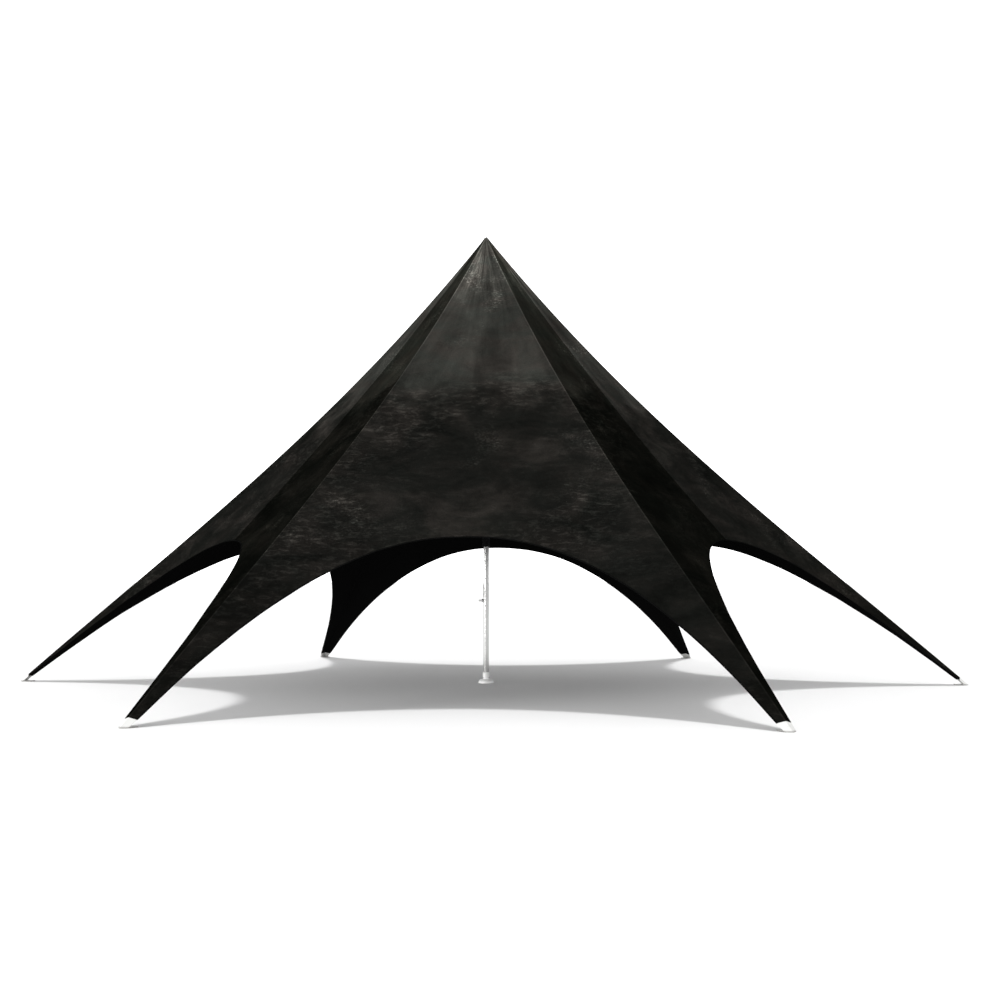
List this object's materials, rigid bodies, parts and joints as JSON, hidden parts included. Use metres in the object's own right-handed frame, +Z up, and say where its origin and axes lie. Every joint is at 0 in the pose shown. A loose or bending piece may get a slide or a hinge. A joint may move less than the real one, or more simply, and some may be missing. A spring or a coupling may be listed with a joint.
{
  "type": "six-armed star tent",
  "caption": "Star-shaped event tent: a dark printed cloth canopy on one central mast, with arms running down to white shoes on the ground and an arch between each two.",
  "frame": {"origin": "foot of the mast, on the ground at the middle of the six feet", "axes": "+Z up the mast; +X towards the foot of the right arm; -Y towards the front panel"},
  "size_m": [12, 10.3924, 5.706],
  "materials": {
    "canopy_cloth": "black coated polyester with a smoky charcoal print, matt",
    "cloth_lining": "plain black doubled cloth",
    "foot_shoe": "white powder coat, satin",
    "mast_tube": "pale satin anodised tube",
    "mast_base": "white powder coat, satin",
    "mast_clamp": "dark grey coat",
    "winder_grip": "white moulded grip"
  },
  "bodies": {
    "tent": {"canopy_right_rear_gore_a": "canopy_cloth", "canopy_right_rear_gore_b": "canopy_cloth", "canopy_rear_gore_a": "canopy_cloth", "canopy_rear_gore_b": "canopy_cloth", "canopy_left_rear_gore_a": "canopy_cloth", "canopy_left_rear_gore_b": "canopy_cloth", "canopy_left_front_gore_a": "canopy_cloth", "canopy_left_front_gore_b": "canopy_cloth", "canopy_front_gore_a": "canopy_cloth", "canopy_front_gore_b": "canopy_cloth", "canopy_right_front_gore_a": "canopy_cloth", "canopy_right_front_gore_b": "canopy_cloth", "foot_right": "foot_shoe", "foot_rear_right": "foot_shoe", "foot_rear_left": "foot_shoe", "foot_left": "foot_shoe", "foot_front_left": "foot_shoe", "foot_front_right": "foot_shoe", "mast_base_plate": "mast_base", "mast_base_collar": "mast_base", "mast_lower_tube": "mast_tube", "mast_clamp_collar": "mast_clamp", "mast_upper_tube": "mast_tube", "mast_head": "mast_tube", "apex_collar": "cloth_lining", "winder_saddle": "mast_tube"},
    "winder": {"winder_knob": "winder_grip"}
  },
  "joints": [
    {"name": "winder_turn", "type": "hinge", "parent": "tent", "child": "winder", "pos_m": [-0.08, 0, 1.04], "axis": [-1, 0, 0], "continuous": true}
  ]
}
